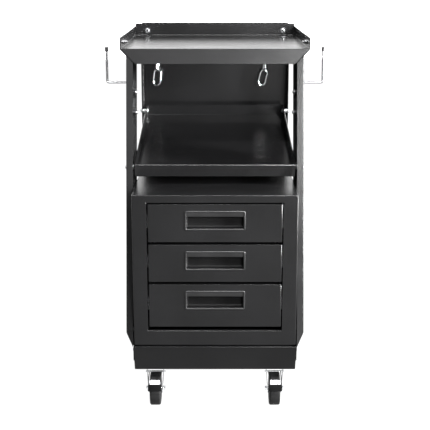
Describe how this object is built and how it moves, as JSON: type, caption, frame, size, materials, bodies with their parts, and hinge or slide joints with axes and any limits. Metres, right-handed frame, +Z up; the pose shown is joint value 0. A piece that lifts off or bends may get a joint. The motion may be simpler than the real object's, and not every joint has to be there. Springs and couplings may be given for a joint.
{
  "type": "rolling tool chest",
  "caption": "Black sheet-steel tool chest on swivel castors: stacked drawers, a slanted shelf and a top tray on leaning posts, with side hooks and hanging rings.",
  "frame": {"origin": "on the floor under the middle of the chest's outline", "axes": "+Z up, -Y towards the drawers' fronts, +X to the right of someone facing the drawers"},
  "size_m": [0.5232, 0.628, 0.885],
  "materials": {
    "black_paint": "semi-gloss black powder coat with a fine texture",
    "zinc": "bright zinc plating",
    "chrome": "bright chrome plating",
    "black_plastic": "fine-grained moulded black plastic",
    "grey_rubber": "dark grey rubber tread, matt"
  },
  "bodies": {
    "chest": {"base_pan": "black_paint", "cabinet_shell": "black_paint", "left_slide_panel": "black_paint", "right_slide_panel": "black_paint", "left_post": "black_paint", "right_post": "black_paint", "back_panel": "black_paint", "top_tray": "black_paint", "slanted_shelf": "black_paint", "left_hook": "zinc", "right_hook": "zinc", "left_hook_cap": "black_plastic", "right_hook_cap": "black_plastic", "left_ring_eye": "chrome", "right_ring_eye": "chrome", "shelf_bolt_front_left": "zinc", "shelf_bolt_front_right": "zinc", "shelf_bolt_rear_left": "zinc", "shelf_bolt_rear_right": "zinc", "outer_rail_1_left": "zinc", "outer_rail_1_right": "zinc", "outer_rail_2_left": "zinc", "outer_rail_2_right": "zinc", "outer_rail_3_left": "zinc", "outer_rail_3_right": "zinc", "front_left_castor_plate": "zinc", "front_right_castor_plate": "zinc", "rear_left_castor_plate": "zinc", "rear_right_castor_plate": "zinc"},
    "drawer_1": {"drawer_1_front": "black_paint", "drawer_1_box": "black_paint", "drawer_1_handle": "black_plastic", "inner_rail_1_left": "zinc", "inner_rail_1_right": "zinc"},
    "drawer_2": {"drawer_2_front": "black_paint", "drawer_2_box": "black_paint", "drawer_2_handle": "black_plastic", "inner_rail_2_left": "zinc", "inner_rail_2_right": "zinc"},
    "drawer_3": {"drawer_3_front": "black_paint", "drawer_3_box": "black_paint", "drawer_3_handle": "black_plastic", "inner_rail_3_left": "zinc", "inner_rail_3_right": "zinc"},
    "front_left_castor": {"front_left_castor_fork": "chrome", "front_left_castor_axle": "chrome"},
    "front_left_castor_wheel": {"front_left_castor_wheel": "grey_rubber"},
    "front_left_castor_brake": {"front_left_castor_brake_pedal": "black_plastic"},
    "front_right_castor": {"front_right_castor_fork": "chrome", "front_right_castor_axle": "chrome"},
    "front_right_castor_wheel": {"front_right_castor_wheel": "grey_rubber"},
    "front_right_castor_brake": {"front_right_castor_brake_pedal": "black_plastic"},
    "rear_left_castor": {"rear_left_castor_fork": "chrome", "rear_left_castor_axle": "chrome"},
    "rear_left_castor_wheel": {"rear_left_castor_wheel": "grey_rubber"},
    "rear_right_castor": {"rear_right_castor_fork": "chrome", "rear_right_castor_axle": "chrome"},
    "rear_right_castor_wheel": {"rear_right_castor_wheel": "grey_rubber"},
    "left_ring": {"left_ring": "chrome"},
    "right_ring": {"right_ring": "chrome"}
  },
  "joints": [
    {"name": "drawer_1_slide", "type": "slide", "parent": "chest", "child": "drawer_1", "axis": [0, -1, 0], "range_m": [0, 0.33]},
    {"name": "drawer_2_slide", "type": "slide", "parent": "chest", "child": "drawer_2", "axis": [0, -1, 0], "range_m": [0, 0.33]},
    {"name": "drawer_3_slide", "type": "slide", "parent": "chest", "child": "drawer_3", "axis": [0, -1, 0], "range_m": [0, 0.33]},
    {"name": "front_left_castor_swivel", "type": "hinge", "parent": "chest", "child": "front_left_castor", "pos_m": [-0.144, -0.2235, 0.09], "axis": [0, 0, 1], "continuous": true},
    {"name": "front_left_castor_wheel_spin", "type": "hinge", "parent": "front_left_castor", "child": "front_left_castor_wheel", "pos_m": [-0.144, -0.2515, 0.04], "axis": [1, 0, 0], "continuous": true},
    {"name": "front_left_castor_brake_tilt", "type": "hinge", "parent": "front_left_castor", "child": "front_left_castor_brake", "pos_m": [-0.144, -0.2525, 0.0845], "axis": [1, 0, 0], "range_deg": [0, 5]},
    {"name": "front_right_castor_swivel", "type": "hinge", "parent": "chest", "child": "front_right_castor", "pos_m": [0.144, -0.2235, 0.09], "axis": [0, 0, 1], "continuous": true},
    {"name": "front_right_castor_wheel_spin", "type": "hinge", "parent": "front_right_castor", "child": "front_right_castor_wheel", "pos_m": [0.144, -0.2515, 0.04], "axis": [1, 0, 0], "continuous": true},
    {"name": "front_right_castor_brake_tilt", "type": "hinge", "parent": "front_right_castor", "child": "front_right_castor_brake", "pos_m": [0.144, -0.2525, 0.0845], "axis": [1, 0, 0], "range_deg": [0, 5]},
    {"name": "rear_left_castor_swivel", "type": "hinge", "parent": "chest", "child": "rear_left_castor", "pos_m": [-0.144, 0.2175, 0.09], "axis": [0, 0, 1], "continuous": true},
    {"name": "rear_left_castor_wheel_spin", "type": "hinge", "parent": "rear_left_castor", "child": "rear_left_castor_wheel", "pos_m": [-0.144, 0.2455, 0.04], "axis": [1, 0, 0], "continuous": true},
    {"name": "rear_right_castor_swivel", "type": "hinge", "parent": "chest", "child": "rear_right_castor", "pos_m": [0.144, 0.2175, 0.09], "axis": [0, 0, 1], "continuous": true},
    {"name": "rear_right_castor_wheel_spin", "type": "hinge", "parent": "rear_right_castor", "child": "rear_right_castor_wheel", "pos_m": [0.144, 0.2455, 0.04], "axis": [1, 0, 0], "continuous": true},
    {"name": "left_ring_swing", "type": "hinge", "parent": "chest", "child": "left_ring", "pos_m": [-0.16, 0.2878, 0.7515], "axis": [0, 1, 0], "range_deg": [-40, 40]},
    {"name": "right_ring_swing", "type": "hinge", "parent": "chest", "child": "right_ring", "pos_m": [0.1375, 0.2878, 0.7515], "axis": [0, 1, 0], "range_deg": [-40, 40]}
  ]
}
